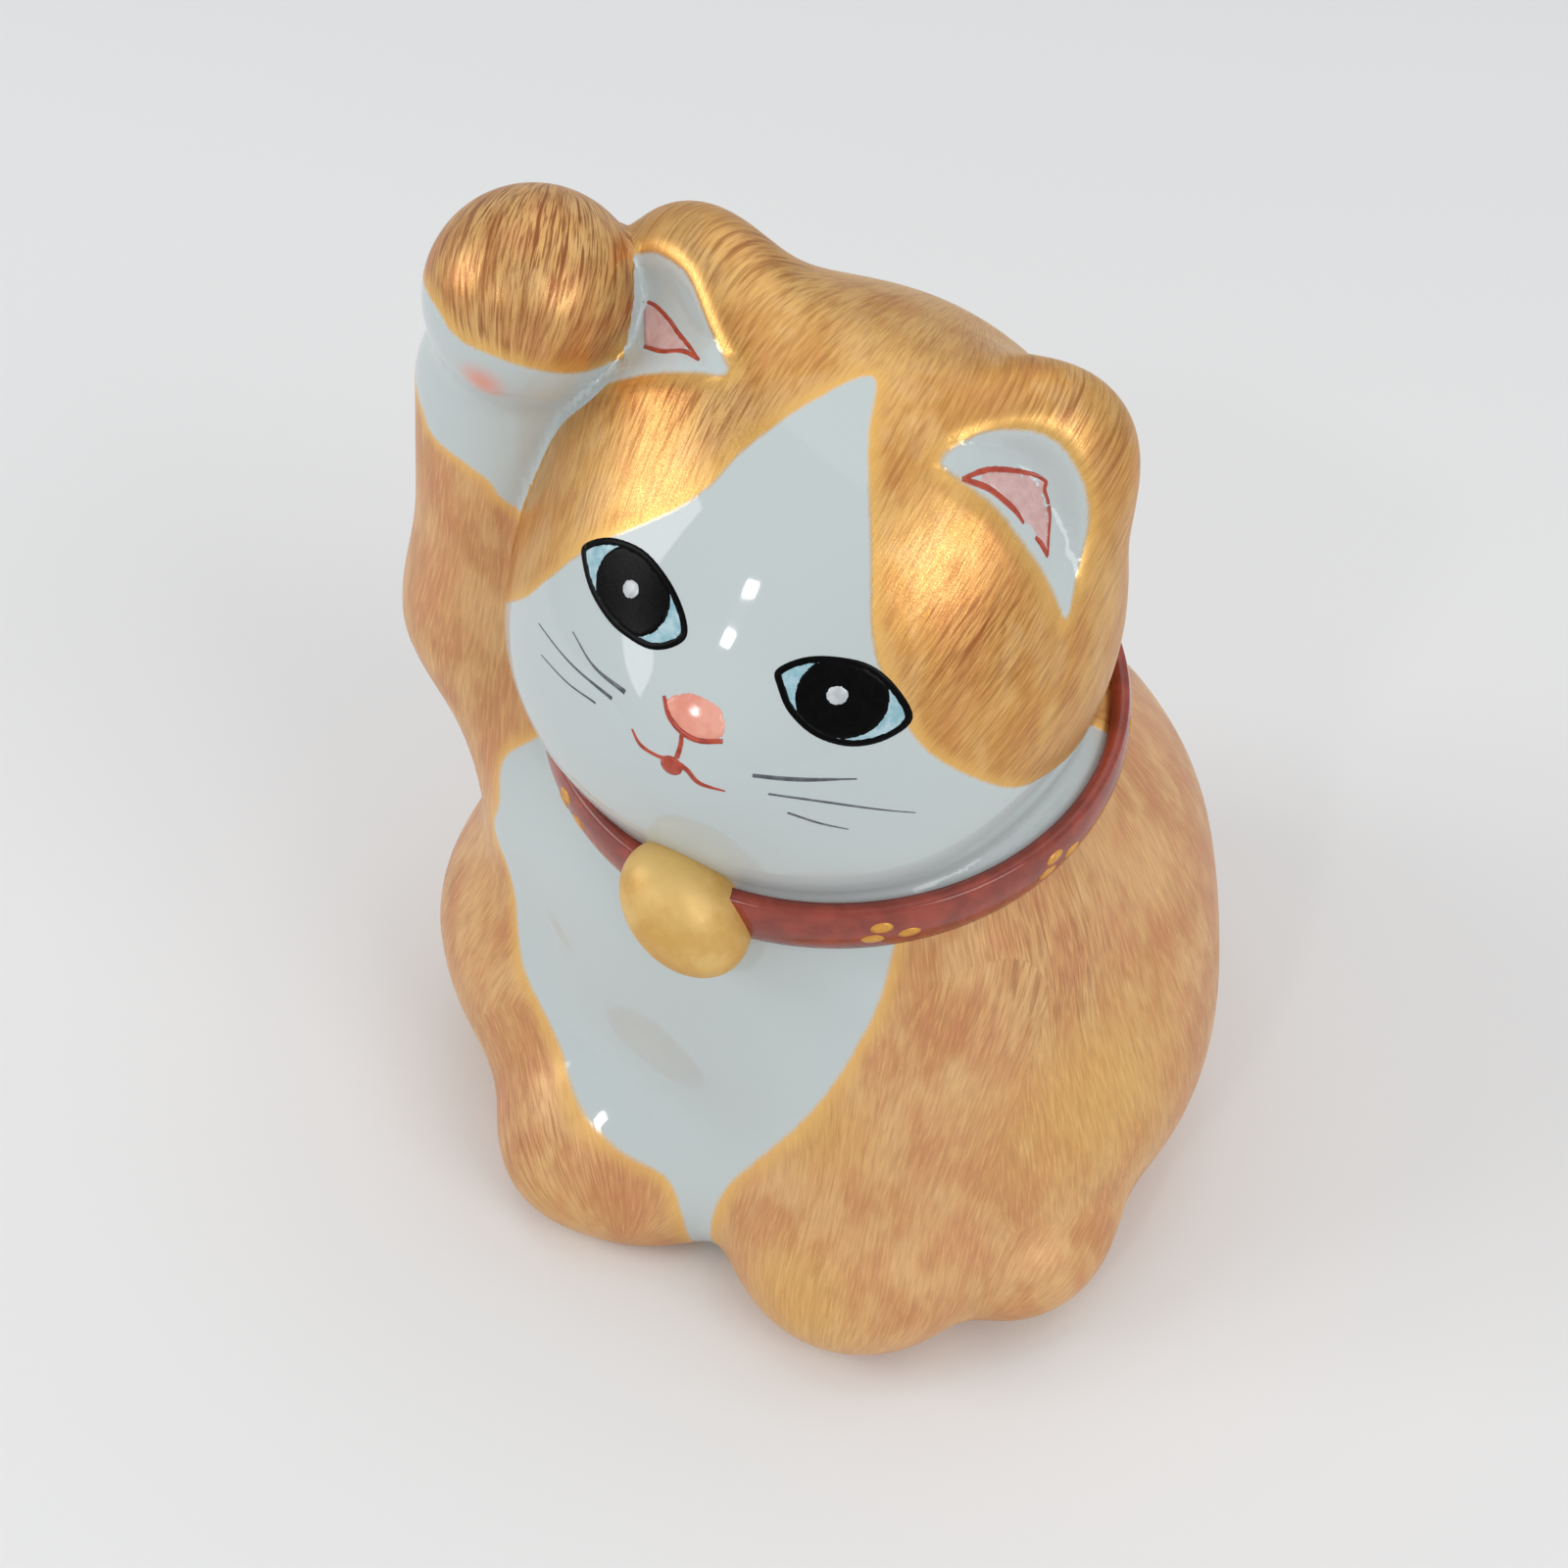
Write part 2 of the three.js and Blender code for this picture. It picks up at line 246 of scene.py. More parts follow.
# ---- ears ----
# Each ear's pressed cup, seen square on: millimetres outwards and up from the middle of the ear.
CUP_OUTLINES = {
    "ear_left": [
        (-8.4, -0.9), (-7.4, 1.2), (-6.5, 2.6), (-4.4, 4.5), (-2.2, 5.3), (0.3, 4.9), (2.5, 3.9),
        (4.2, 2.3), (6.1, -1.1), (6.9, -2.8), (4.6, -2.0), (2, -1.2), (-3, -0.4), (-6, -0.7),
    ],
    "ear_right": [
        (-10.3, -1.6), (-9, -0.3), (-7.6, 1.1), (-6.1, 2.9), (-4.4, 4.8), (-2.9, 5.6), (-0.6, 6.2),
        (1.8, 5.6), (3.8, 4), (5.4, 1), (6.4, -2.5), (6.3, -4.6), (3, -3.9), (-1.2, -2.9),
        (-3.9, -2.2), (-7.6, -1.7),
    ],
}
CUPS = {ear: flowing(outline, closed=True, samples=4) for ear, outline in CUP_OUTLINES.items()}
CUP_DEPTH = 2.0
CUP_WALL = 2.8
CUP_LIP = 0.4
CUP_SOFTNESS = 1.1
FAR_OUTSIDE = 9.0
EAR_SIDE = {"ear_right": -1, "ear_left": 1}
EAR_PLACE = {"ear_right": on_head(-0.69, -0.245, 0.6), "ear_left": on_head(0.44, -0.245, 0.66)}
EAR_FILLET = {"ear_right": 9, "ear_left": 6}


def ear_turn(ear):
    """How an ear is turned against the head."""
    return turn("Y", EAR_SIDE[ear] * 22) @ turn("Z", EAR_SIDE[ear] * 28)


def into_ear(ear, places):
    """Places in an ear's own frame: outwards, back and up from its middle."""
    return (into_head(places) - EAR_PLACE[ear]) @ ear_turn(ear) * np.array([EAR_SIDE[ear], 1, 1])


def ear_shell(ear):
    half = np.array([EAR_WIDTH / 2, EAR_WIDTH / 3.1, EAR_HEIGHT / 2])
    return in_head(egg(EAR_PLACE[ear], half, ear_turn(ear)))


def before_ear(ear, places):
    """Which places are near an ear and not behind it, and where those are, seen square on."""
    local = into_ear(ear, places)
    close = (local[:, 1] < 0.5) & (np.abs(local) < 13).all(1)
    return close, local[close][:, [0, 2]]


def cup_edge(ear, places):
    """How far a place is outside the edge of an ear's cup, negative inside, and far behind the ear."""
    close, flat = before_ear(ear, places)
    edge = np.full(len(places), FAR_OUTSIDE)
    edge[close] = beyond(CUPS[ear], flat)
    return edge


def cup_depth(ear, places):
    """How deep an ear's cup is pressed in at a place, averaged over a small ring to round its floor."""
    close, flat = before_ear(ear, places)
    depth = np.zeros(len(places))
    for angle in np.arange(6) * np.pi / 3:
        edge = beyond(CUPS[ear], flat + CUP_SOFTNESS * np.array([np.cos(angle), np.sin(angle)]))
        share = np.clip((CUP_LIP - edge) / CUP_WALL, 0, 1)
        depth[close] += CUP_DEPTH / 6 * share * share * (3 - 2 * share)
    return depth


EARS = {ear: ear_shell(ear) for ear in EAR_SIDE}

# ---- collar and bell ----
COLLAR_TURN = turn("Y", COLLAR_LEANS) @ turn("X", COLLAR_DROPS)
COLLAR_CENTRE = beside_head(0.06, 0, -0.44)
BELL_OUT = HEAD_RADIUS * np.array([0.02, -1, 0])
BELL_CENTRE = COLLAR_CENTRE + COLLAR_TURN @ BELL_OUT + np.array([0, 0, -0.03 * BELL_WIDTH])


NECK_ROUND = 1.4
NECK_MIDDLE = HEAD_RADIUS - 3.6
NECK_DROP = 0.7


def neck_form(places):
    """The low ring of porcelain that the collar lies round."""
    local = (places - COLLAR_CENTRE) @ COLLAR_TURN
    out = np.abs(np.hypot(local[:, 0], local[:, 1]) - NECK_MIDDLE) - NECK_ROUND
    up = np.abs(local[:, 2] + NECK_DROP) - (COLLAR_HEIGHT / 2 - NECK_ROUND)
    outside = np.hypot(np.maximum(out, 0), np.maximum(up, 0))
    return outside + np.minimum(np.maximum(out, up), 0) - NECK_ROUND


def skin(places):
    """The whole glazed surface, flat where it stands, with the vent hole in its base."""
    low = softer(body_form(places), foreleg_form(places), 8)
    low = softer(low, hind_leg_form(places), 8)
    low = softer(low, hind_foot_form(places), 3)
    low = softer(low, tail_form(places), 2)
    high = head_form(places)
    for ear, shell in EARS.items():
        high = softer(high, shell(places), EAR_FILLET[ear])
    for ear in EARS:
        high = high + cup_depth(ear, places)
    low = softer(low, arm_form(places), 8)
    whole = softer(softer(low, neck_form(places), 2.0), high, 1.2)
    whole = carve(whole, places[:, 2], SEAT_EDGE)
    away = places[:, :2] - np.array([0, VENT_BACK])
    bore = np.maximum(np.linalg.norm(away, axis=1) - VENT_BORE / 2, places[:, 2] - VENT_TOP)
    return carve(whole, bore, VENT_EDGE)


def slope(form, places, reach=0.02):
    """The gradient of a form."""
    steps = np.eye(3) * reach
    return np.stack([form(places + s) - form(places - s) for s in steps], axis=1) / (2 * reach)


def settle(places, form=skin, rounds=4):
    """Places moved onto the surface of a form, along its gradient."""
    for _ in range(rounds):
        steep = slope(form, places)
        places = places - (form(places) / ((steep**2).sum(1) + 1e-9))[:, None] * steep
    return places


def outward(places, form=skin):
    """Unit normals of a form."""
    steep = slope(form, places)
    return steep / (np.linalg.norm(steep, axis=1)[:, None] + 1e-9)


# ---- meshing ----
def nets(form, low, high, step):
    """A mesh of quads over the surface of a form: one point in each grid cell that the surface crosses."""
    low = np.array(low, float)
    count = np.ceil((np.array(high) - low) / step).astype(int) + 1
    count += -count % 4
    coarse = np.stack(np.meshgrid(*[np.arange(n // 4) * 4 + 1.5 for n in count], indexing="ij"), -1)
    rough = form(low + step * coarse.reshape(-1, 3)).reshape(coarse.shape[:3])
    for axis in range(3):
        rough = np.repeat(rough, 4, axis=axis)
    value = rough.copy()
    near = np.argwhere(np.abs(rough) < 7 * step)
    value[tuple(near.T)] = np.concatenate([form(low + step * part) for part in np.array_split(near, 16)])
    inside = value < 0
    size = np.array(value.shape) - 1

    def shifted(grid, offset):
        return grid[tuple(slice(o, o + n) for o, n in zip(offset, size))]

    corners = sum(shifted(inside, o).astype(int) for o in np.ndindex(2, 2, 2))
    cells = np.argwhere((corners > 0) & (corners < 8))
    number = np.full(size, -1)
    number[tuple(cells.T)] = np.arange(len(cells))
    total, crossings = np.zeros((len(cells), 3)), np.zeros(len(cells))
    quads = []
    for axis in range(3):
        along = np.eye(3, dtype=int)[axis]
        b, c = (np.eye(3, dtype=int)[(axis + k) % 3] for k in (1, 2))
        for offset in (0 * b, b, c, b + c):
            first = value[tuple((cells + offset).T)]
            last = value[tuple((cells + offset + along).T)]
            crossed = (first < 0) != (last < 0)
            share = np.where(crossed, first / np.where(crossed, first - last, 1), 0)
            total += (offset + share[:, None] * along) * crossed[:, None]
            crossings += crossed
        edges = np.argwhere(np.diff(inside.astype(int), axis=axis) != 0)
        kept = (edges @ b > 0) & (edges @ c > 0) & (edges @ b < size @ b) & (edges @ c < size @ c)
        edges = edges[kept]
        ring = np.stack([number[tuple((edges - o).T)] for o in (b + c, c, 0 * b, b)], axis=1)
        leaving = inside[tuple(edges.T)]
        quads.append(np.where(leaving[:, None], ring, ring[:, ::-1]))
    points = low + step * (cells + total / crossings[:, None])
    return points, np.concatenate(quads)


def relax(points, quads, rounds):
    """Evens the mesh out without leaving the surface."""
    ends = np.concatenate([quads[:, [k, (k + 1) % 4]] for k in range(4)])
    degree = np.bincount(ends[:, 0], minlength=len(points))
    for _ in range(rounds):
        mean = np.stack([np.bincount(ends[:, 0], points[ends[:, 1], k], len(points)) for k in range(3)], 1)
        drift = mean / degree[:, None] - points
        normal = outward(points)
        drift -= (drift * normal).sum(1)[:, None] * normal
        points = settle(points + 0.5 * drift, rounds=1)
    return settle(points, rounds=2)


PIECES = {
    "body": body_form,
    "head": head_form,
    "ear_right": EARS["ear_right"],
    "ear_left": EARS["ear_left"],
    "raised_foreleg": arm_form,
    "standing_foreleg": foreleg_form,
    "hind_leg_right": hind_leg_form,
    "hind_foot_left": hind_foot_form,
    "tail": tail_form,
}


def share_out(points, quads):
    """The number of the piece that each face belongs to, with every piece in one part."""
    centres = points[quads].mean(1)
    owner = np.stack([form(centres) for form in PIECES.values()]).argmin(0)
    edges = np.sort(np.concatenate([quads[:, [k, (k + 1) % 4]] for k in range(4)]), axis=1)
    face = np.tile(np.arange(len(quads)), 4)
    order = np.lexsort((edges[:, 1], edges[:, 0]))
    pairs = face[order].reshape(-1, 2)
    for _ in range(12):
        label = np.arange(len(quads))
        same = pairs[owner[pairs[:, 0]] == owner[pairs[:, 1]]]
        while True:
            low = label.copy()
            np.minimum.at(low, same[:, 0], label[same[:, 1]])
            np.minimum.at(low, same[:, 1], label[same[:, 0]])
            low = low[low]
            if (low == label).all():
                break
            label = low
        sizes = np.bincount(label, minlength=len(quads))
        biggest = np.zeros(len(PIECES), int)
        for piece in range(len(PIECES)):
            mine = np.where(owner == piece)[0]
            biggest[piece] = label[mine[sizes[label[mine]].argmax()]]
        stray = label != biggest[owner]
        if not stray.any():
            break
        both = np.concatenate([pairs, pairs[:, ::-1]])
        rim = both[stray[both[:, 0]] & ~stray[both[:, 1]]]
        owner[rim[:, 0]] = owner[rim[:, 1]]
    return owner


def straighten(points, quads, owner):
    """Moves the points between two pieces onto the line where both forms are equally near."""
    forms = list(PIECES.values())
    lowest = np.full(len(points), 99)
    highest = np.full(len(points), -1)
    np.minimum.at(lowest, quads.ravel(), np.repeat(owner, 4))
    np.maximum.at(highest, quads.ravel(), np.repeat(owner, 4))
    for first in range(len(forms)):
        for second in range(first + 1, len(forms)):
            rim = np.where((lowest == first) & (highest == second))[0]
            if not len(rim):
                continue

            def between(places):
                return forms[first](places) - forms[second](places)

            place = points[rim]
            steep, normal = slope(between, place), outward(place)
            steep -= (steep * normal).sum(1)[:, None] * normal
            move = -(between(place) / ((steep**2).sum(1) + 0.02))[:, None] * steep
            length = np.linalg.norm(move, axis=1)[:, None]
            points[rim] = settle(place + move * np.minimum(1, 0.4 * STEP / (length + 1e-9)), rounds=2)
    return points


def make_mesh(name, points, faces, material, normals=None, **fields):
    """A Blender object from points in millimetres, with its normals and its named values at each point."""
    mesh = bpy.data.meshes.new(name)
    mesh.from_pydata((points * MM).tolist(), [], faces)
    mesh.polygons.foreach_set("use_smooth", [True] * len(mesh.polygons))
    if normals is not None:
        mesh.normals_split_custom_set_from_vertices(normals.tolist())
    for field, values in fields.items():
        kind = "FLOAT_VECTOR" if values.ndim == 2 else "FLOAT"
        attribute = mesh.attributes.new(field, kind, "POINT")
        key = "vector" if values.ndim == 2 else "value"
        attribute.data.foreach_set(key, values.astype(np.float32).ravel())
    mesh.materials.append(material)
    made = bpy.data.objects.new(name, mesh)
    bpy.context.scene.collection.objects.link(made)
    return made


def thicken(points, faces, normals, depth):
    """A surface with an edge, turned into a closed sheet by adding its inner side and its rim."""
    count = len(points)
    ends = np.concatenate([faces[:, [k, (k + 1) % faces.shape[1]]] for k in range(faces.shape[1])])
    known = set(map(tuple, ends.tolist()))
    rim = [(a, b) for a, b in known if (b, a) not in known]
    sides = [(b, a, a + count, b + count) for a, b in sorted(rim)]
    whole = faces.tolist() + (faces[:, ::-1] + count).tolist() + sides
    return np.concatenate([points, points - depth * normals]), whole


# The white of the face, laid out flat round the nose: millimetres to the cat's left and up.
WHITE_FACE = flowing([
    (-1.2, 23.7), (1.4, 18.5), (5.7, 11.1), (8.8, 5.1), (11.5, 2.0), (16, -1.7), (22.4, -3.8),
    (27.5, -4.7), (33, -3.4), (42, -2), (60, -8), (70, -30), (50, -60), (0, -75), (-50, -60),
    (-60, -34), (-40, -22), (-29, -15), (-20.9, -8.7), (-18.1, -4.6), (-15.6, -0.2), (-12.5, 3.4),
    (-9.7, 6.7), (-8, 9.7), (-7, 13.3), (-4.3, 19.3),
], closed=True)
# The white of the chest: degrees round the figurine from its front, and height.
WHITE_CHEST = flowing([
    (-36, 66), (-40, 55), (-47, 47), (-52, 42), (-52, 37), (-54, 33), (-50, 30), (-45, 24), (-38, 20),
    (-22, 15), (-11, 12.1), (-3, 10.2), (0, 7), (1, 3), (1, -4), (4, -4), (5, 5), (6, 10), (8, 13.1),
    (12, 16.6), (20, 24), (27, 32), (33, 41), (36, 50), (36, 64),
], closed=True)
# The white palm of the raised paw: degrees round the wrist, and height.
WHITE_PALM = flowing([
    (-75, 79), (-60, 75.5), (-33, 72.7), (-25, 71.4), (-2, 70.2), (14, 68.7), (21, 67), (50, 64.5),
    (80, 65), (110, 70), (122, 78), (112, 84), (99, 85.2), (93, 82.5), (82, 80.6), (69, 79.9),
    (57, 80.2), (41, 81.3), (29, 82.3), (12, 83.3), (1, 84.6), (-20, 84.8), (-45, 83.5), (-65, 81.5),
], closed=True)


# All fur beyond this bearing from the front of the head, in degrees.
NAPE_BEARING = 105
# Millimetres that a degree of bearing is taken as, on the trunk and on the raised foreleg.
TRUNK_ARC, ARM_ARC = 0.5, 0.15


def bearing(places, centre=(0, 0)):
    """Degrees round a vertical axis, from the front towards the cat's left."""
    return np.degrees(np.arctan2(places[:, 0] - centre[0], centre[1] - places[:, 1]))


def around_face(local):
    """Head places laid out flat round the axis of the face, in millimetres."""
    unit = local / np.linalg.norm(local, axis=1)[:, None]
    angle = np.arccos(np.clip(-unit[:, 1], -1, 1))
    reach = HEAD_RADIUS * angle / (np.hypot(unit[:, 0], unit[:, 2]) + 1e-9)
    return np.stack([unit[:, 0] * reach, unit[:, 2] * reach], axis=1)


def fur_on_head(places):
    """How far a place on the head or an ear is inside the painted fur."""
    local = into_head(places)
    fur = beyond(WHITE_FACE, around_face(local))
    for ear in EARS:
        fur = np.minimum(fur, cup_edge(ear, places))
    behind = 0.3 * (np.abs(bearing(places, HEAD_CENTRE)) - NAPE_BEARING)
    return np.maximum(fur, np.minimum(behind, 3))


def fur_on_chest(places):
    """How far a place on the trunk or a leg is inside the painted fur."""
    flat = np.stack([bearing(places) * TRUNK_ARC, places[:, 2]], axis=1)
    return beyond(WHITE_CHEST * np.array([TRUNK_ARC, 1]), flat)


def fur_on_arm(places):
    """How far a place on the raised foreleg is inside the painted fur."""
    flat = np.stack([bearing(places, wrist) * ARM_ARC, places[:, 2]], axis=1)
    return np.minimum(beyond(WHITE_PALM * np.array([ARM_ARC, 1]), flat), fur_on_chest(places))


# Places in the head's own frame with darker strokes: the place, its reach, and how much darker.
BROWN_SPOTS = (
    ((-11.3, -15.7, 13.6), 7, 0.65),
    ((-15.7, -14.8, 9.7), 6, 0.5),
    ((14.3, -16.8, 7.7), 7, 0.65),
    ((-13.8, -8, 21), 9, 0.5),
    ((13.4, -10, 23), 8, 0.45),
)


def nearness(places, centre, reach):
    """1 at a centre, falling smoothly to 0 at a distance."""
    share = np.clip(1 - np.linalg.norm(places - np.asarray(centre), axis=1) / reach, 0, 1)
    return share * share * (3 - 2 * share)


# ---- materials ----
def paint(red, green, blue):
    """A colour as it is seen on a screen, as the linear values that a shader takes."""
    seen = (red, green, blue)
    return tuple(c / 12.92 if c < 0.04045 else ((c + 0.055) / 1.055) ** 2.4 for c in seen) + (1,)


# How deep the brush strokes stand, in metres, and how strongly they shade.
RELIEF_DEPTH, RELIEF_STRENGTH = 0.00003, 0.5


class Nodes:
    """Short ways to write a material's nodes."""

    def __init__(self, name):
        self.material = bpy.data.materials.new(name)
        self.material.use_nodes = True
        self.tree = self.material.node_tree
        self.shader = self.tree.nodes["Principled BSDF"]

    def node(self, kind):
        return self.tree.nodes.new("ShaderNode" + kind)

    def put(self, socket, value):
        if isinstance(value, bpy.types.NodeSocket):
            self.tree.links.new(value, socket)
        else:
            socket.default_value = value

    def shade(self, **inputs):
        for key, value in inputs.items():
            self.put(self.shader.inputs[key.replace("_", " ")], value)

    def math(self, operation, *values):
        made = self.node("Math")
        made.operation = operation
        for socket, value in zip(made.inputs, values):
            self.put(socket, value)
        return made.outputs[0]

    def plus(self, one, other):
        return self.math("ADD", one, other)

    def times(self, one, other):
        return self.math("MULTIPLY", one, other)

    def attribute(self, name, vector=False):
        made = self.node("Attribute")
        made.attribute_name = name
        return made.outputs["Vector" if vector else "Fac"]

    def between(self, value, low, high, start=0.0, end=1.0):
        made = self.node("MapRange")
        made.interpolation_type = "SMOOTHSTEP"
        for socket, item in zip(made.inputs, (value, low, high, start, end)):
            self.put(socket, item)
        return made.outputs[0]

    def mix(self, share, first, second):
        made = self.node("Mix")
        made.data_type = "RGBA"
        self.put(made.inputs[0], share)
        self.put(made.inputs[6], first)
        self.put(made.inputs[7], second)
        return made.outputs[2]

    def along(self, vector, share):
        """The vector with its third part shortened, which draws a noise out into strokes."""
        made = self.node("VectorMath")
        made.operation = "MULTIPLY"
        self.put(made.inputs[0], vector)
        made.inputs[1].default_value = (1, 1, share)
        return made.outputs[0]

    def noise(self, vector, scale, detail=2.0, rough=0.5):
        made = self.node("TexNoise")
        self.put(made.inputs["Vector"], vector)
        made.inputs["Scale"].default_value = scale
        made.inputs["Detail"].default_value = detail
        made.inputs["Roughness"].default_value = rough
        return made.outputs["Fac"]

    def relief(self, height):
        made = self.node("Bump")
        self.put(made.inputs["Height"], height)
        made.inputs["Distance"].default_value = RELIEF_DEPTH
        made.inputs["Strength"].default_value = RELIEF_STRENGTH
        return made.outputs["Normal"]


def painted_porcelain(name):
    """White glaze with gold and tan fur painted on it, brushed on in strokes that follow the limb."""
    n = Nodes(name)
    fur, gilt, brown, wash = (n.attribute(field) for field in ("fur", "gilt", "brown", "wash"))
    blush, bare, yellow = (n.attribute(field) for field in ("blush", "bare", "yellow"))
    flow = n.attribute("flow", vector=True)
    place = n.attribute("place", vector=True)
    hairs = n.noise(n.along(flow, 0.09), 5.5, 1.5, 0.6)
    strokes = n.noise(n.along(flow, 0.09), 2.4, 1.0, 0.5)
    streaks = n.noise(n.along(flow, 0.12), 0.9, 1.0, 0.5)
    dabs = n.noise(n.along(place, 0.5), 0.26, 2.0, 0.55)
    cloud = n.noise(place, 0.12, 2.0, 0.5)
    grain = n.noise(place, 8.0, 2.0, 0.7)

    edge = n.plus(fur, n.times(n.math("SUBTRACT", strokes, 0.5), 0.2))
    covered = n.between(edge, -0.22, 0.26)
    tan = n.mix(gilt, paint(0.84, 0.63, 0.44), paint(0.90, 0.71, 0.42))
    deeper = n.mix(gilt, paint(0.79, 0.565, 0.38), paint(0.84, 0.62, 0.33))
    tan = n.mix(n.between(cloud, 0.42, 0.62), tan, deeper)
    tan = n.mix(n.times(n.between(dabs, 0.42, 0.7), wash), tan, paint(0.80, 0.515, 0.355))
    tan = n.mix(n.times(n.between(dabs, 0.5, 0.34), 0.5), tan, paint(0.90, 0.72, 0.50))
    tan = n.mix(n.times(yellow, 0.75), tan, paint(0.87, 0.68, 0.38))
    more = n.plus(n.times(brown, 0.6), 0.1)
    tan = n.mix(n.times(n.between(hairs, 0.46, 0.66), more), tan, paint(0.56, 0.34, 0.17))
    pale = n.times(n.between(hairs, 0.48, 0.3), 0.3)
    tan = n.mix(pale, tan, paint(0.95, 0.79, 0.50))
    thin = n.times(n.between(strokes, 0.55, 0.67), n.times(brown, 0.8))
    tan = n.mix(thin, tan, paint(0.57, 0.32, 0.15))
    broad = n.times(n.between(streaks, 0.5, 0.68), n.times(brown, 0.5))
    tan = n.mix(broad, tan, paint(0.66, 0.40, 0.20))
    rim = n.times(n.between(n.plus(edge, n.times(dabs, 0.8)), 2.0, 0.45), 0.75)
    tan = n.mix(rim, tan, paint(0.93, 0.74, 0.42))
    glaze = n.mix(blush, paint(0.765, 0.80, 0.80), paint(0.93, 0.58, 0.48))
    glaze = n.mix(bare, glaze, paint(0.86, 0.84, 0.80))
    colour = n.mix(covered, glaze, tan)
    sparkle = n.between(grain, 0.3, 0.7, 0.5, 1.0)
    metal = n.times(n.times(covered, gilt), sparkle)
    satin = n.between(grain, 0.3, 0.7, 0.48, 0.3)
    rough = n.math("MAXIMUM", n.times(covered, satin), n.times(bare, 0.7))
    rough = n.math("MAXIMUM", rough, 0.06)
    height = n.times(covered, n.plus(n.times(grain, 0.5), hairs))
    n.shade(Base_Color=colour, Metallic=metal, Roughness=rough, Normal=n.relief(height))
    return n.material


def enamel(name, colour, other, rough, metal=0.0, size=1.2):
    """An overglaze colour with the uneven depth of a brushed coat."""
    n = Nodes(name)
    place = n.node("TexCoord").outputs["Object"]
    brushed = n.noise(place, size / MM, 3.0, 0.6)
    tint = n.mix(n.between(brushed, 0.35, 0.7), paint(*colour), paint(*other))
    fine = n.noise(place, 4 * size / MM)
    rough = n.between(fine, 0.2, 0.8, rough - 0.03, rough + 0.05)
    n.shade(Base_Color=tint, Roughness=rough, Metallic=metal, Normal=n.relief(brushed))
    return n.material


MAROON = enamel("collar_enamel", (0.52, 0.22, 0.17), (0.63, 0.27, 0.21), 0.16, size=0.35)
COLLAR_GOLD = enamel("collar_gold", (0.87, 0.64, 0.28), (0.80, 0.55, 0.22), 0.35, metal=0.3)
BELL_GOLD = enamel("bell_gilding", (0.89, 0.74, 0.45), (0.83, 0.64, 0.33), 0.45, metal=0.25, size=0.25)
BLACK = enamel("eye_black", (0.005, 0.005, 0.008), (0.02, 0.02, 0.025), 0.25)
BLACK.node_tree.nodes["Principled BSDF"].inputs["Specular IOR Level"].default_value = 0.08
TURQUOISE = enamel("eye_turquoise", (0.55, 0.72, 0.77), (0.72, 0.82, 0.85), 0.1)
EYE_LIGHT = enamel("eye_light", (0.72, 0.74, 0.75), (0.80, 0.82, 0.83), 0.1)
NOSE_PINK = enamel("nose_pink", (0.93, 0.66, 0.58), (0.89, 0.57, 0.49), 0.1, size=0.5)
LINE_RED = enamel("line_red", (0.72, 0.29, 0.20), (0.60, 0.20, 0.14), 0.2)
EAR_PINK = enamel("ear_pink", (0.84, 0.70, 0.69), (0.80, 0.64, 0.62), 0.1)
WHISKER_GREY = enamel("whisker_grey", (0.25, 0.27, 0.30), (0.38, 0.40, 0.43), 0.2)

SLOTS = {
    "body": "body_glaze",
    "head": "face_glaze",
    "ear_right": "ear_gilding",
    "ear_left": "ear_gilding",
    "raised_foreleg": "limb_gilding",
    "standing_foreleg": "limb_gilding",
    "hind_leg_right": "limb_gilding",
    "hind_foot_left": "limb_gilding",
    "tail": "limb_gilding",
}
PORCELAIN = {slot: painted_porcelain(slot) for slot in dict.fromkeys(SLOTS.values())}


def mount(piece, slot, *replaced):
    """Fixes a piece to the figurine."""
    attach(piece, "root")
    if replaced:
        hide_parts(*replaced)


# ---- the porcelain pieces ----
def combed(places, start, end, radius):
    """Coordinates that brush strokes follow along a limb and over its rounded ends."""
    length = np.linalg.norm(end - start)
    axis = (end - start) / length
    along = np.clip((places - start) @ axis, 0, length)
    away = places - start - along[:, None] * axis
    lift = away @ axis
    flat = away - lift[:, None] * axis
    wide = np.linalg.norm(flat, axis=1) + 1e-6
    first = np.cross(axis, [0.6, 0.8, 0])
    first /= np.linalg.norm(first)
    second = np.cross(axis, first)
    round_it = radius / wide[:, None] * np.stack([flat @ first, flat @ second], axis=1)
    return np.column_stack([round_it, along + radius * np.arctan2(lift, wide)])


def combed_round(places, centre, pole, radius):
    """Coordinates that brush strokes follow round a ball, away from its pole."""
    return combed(places, centre - 0.01 * pole, centre + 0.01 * pole, radius)


# Where the strokes on the head and on the raised paw meet: a whorl behind the top of each.
CROWN = HEAD_TURN @ np.array([0, 0.5, 0.866])
PAW_CROWN = np.array([-0.2, 0.75, 0.63])
# The line that the painted fur follows on each piece but the head and ears, and how thick the piece is.
COMBS = {
    "body": (on_body(0, 0, 0), on_body(0, 0, 1), 30),
    "raised_foreleg": (elbow, paw_centre, ARM),
    "standing_foreleg": (on_body(0.42, -0.42, 0.667), on_body(0.455, -0.85, 0.2), LEG),
    "hind_leg_right": (on_body(-0.74, -0.31, 0.31), on_body(-0.36, -0.83, 0.13), HIND),
    "hind_foot_left": (on_body(0.818, -0.35, 0.2), on_body(0.818, -0.68, 0.125), HIND),
    "tail": (on_body(0.15, 1, 0.1), on_body(0.15, 1, 0.25), TAIL_WIDTH / 2),
}
# Places on the trunk and legs with darker strokes: the place, its reach, and how much darker.
BROWN_PLACES = (((26, -15, 38), 13, 0.4), ((-14, -31, 11), 9, 0.4), ((-31, -12, 24), 12, 0.15))
